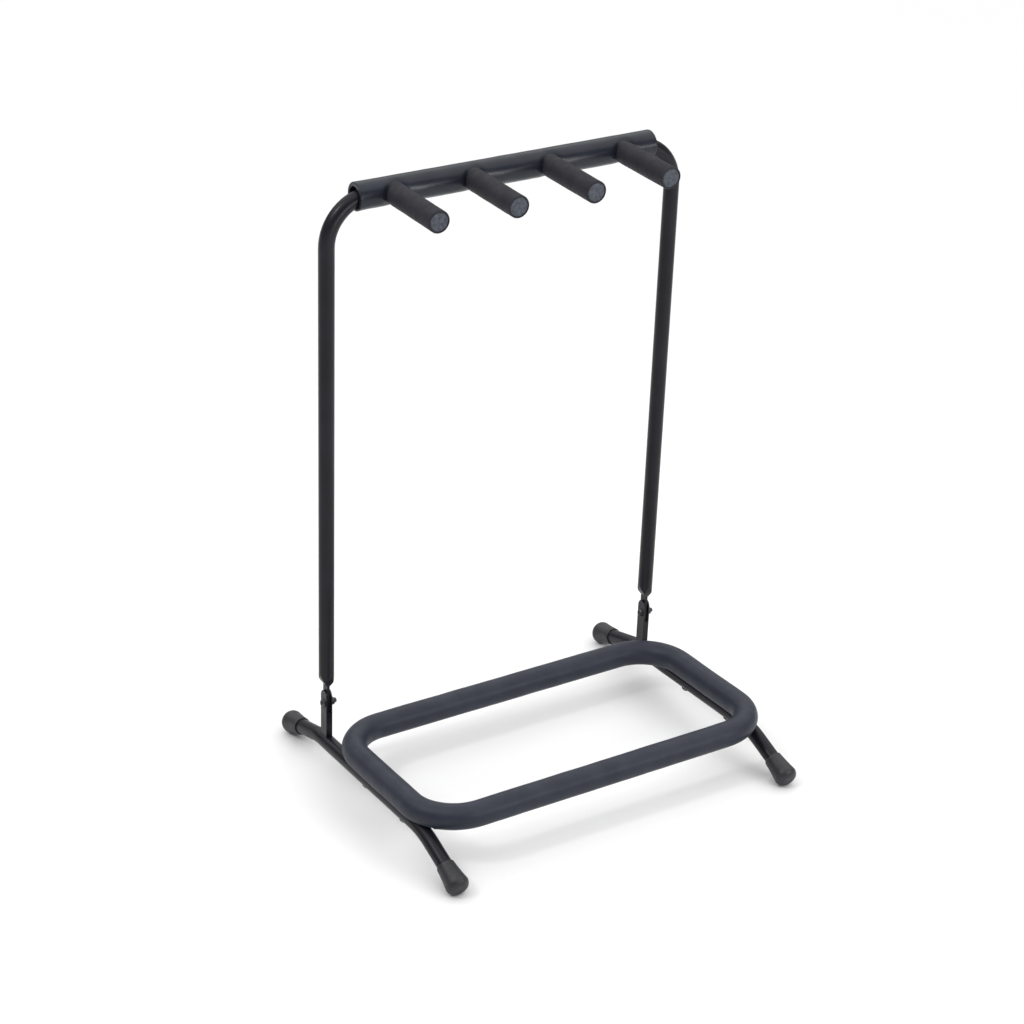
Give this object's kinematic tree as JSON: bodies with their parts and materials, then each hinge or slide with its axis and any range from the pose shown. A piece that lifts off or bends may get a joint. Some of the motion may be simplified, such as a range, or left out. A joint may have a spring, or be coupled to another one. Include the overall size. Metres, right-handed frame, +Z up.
{
  "type": "guitar rack",
  "caption": "Folding floor rack for guitars: a foam-covered loop carries the bodies and padded pegs on a hinged frame part the necks.",
  "frame": {"origin": "on the floor, under the centre of the rack's bounding box, with the neck frame up", "axes": "+X to the right seen from the front, -Y to the front, where the pegs point, and +Z up"},
  "size_m": [0.4396, 0.3792, 0.6668],
  "materials": {
    "steel": "black powder coat, semi-gloss",
    "foam": "matte bluish charcoal closed-cell foam",
    "peg_foam": "matte charcoal closed-cell foam",
    "plug": "matte bluish foam disc",
    "rubber": "matte black rubber",
    "hardware": "black oxide",
    "washer": "black nylon"
  },
  "bodies": {
    "base": {"left_leg": "steel", "right_leg": "steel", "left_front_foot": "rubber", "left_rear_foot": "rubber", "right_front_foot": "rubber", "right_rear_foot": "rubber", "loop_tube": "steel", "loop_foam": "foam", "loop_screws": "hardware", "loop_inserts": "hardware", "left_hinge_bracket": "steel", "right_hinge_bracket": "steel", "left_hinge_bolt": "hardware", "right_hinge_bolt": "hardware", "left_hinge_nut": "hardware", "right_hinge_nut": "hardware", "hinge_washers": "washer"},
    "neck_frame_body": {"neck_frame": "steel", "bar_sleeve": "foam", "peg_tube_1": "steel", "peg_tube_2": "steel", "peg_tube_3": "steel", "peg_tube_4": "steel", "peg_foam_1": "peg_foam", "peg_foam_2": "peg_foam", "peg_foam_3": "peg_foam", "peg_foam_4": "peg_foam", "peg_plug_1": "plug", "peg_plug_2": "plug", "peg_plug_3": "plug", "peg_plug_4": "plug"}
  },
  "joints": [
    {"name": "fold", "type": "hinge", "parent": "base", "child": "neck_frame_body", "pos_m": [0, 0.0991, 0.0795], "axis": [1, 0, 0], "range_deg": [0, 86.8]}
  ]
}
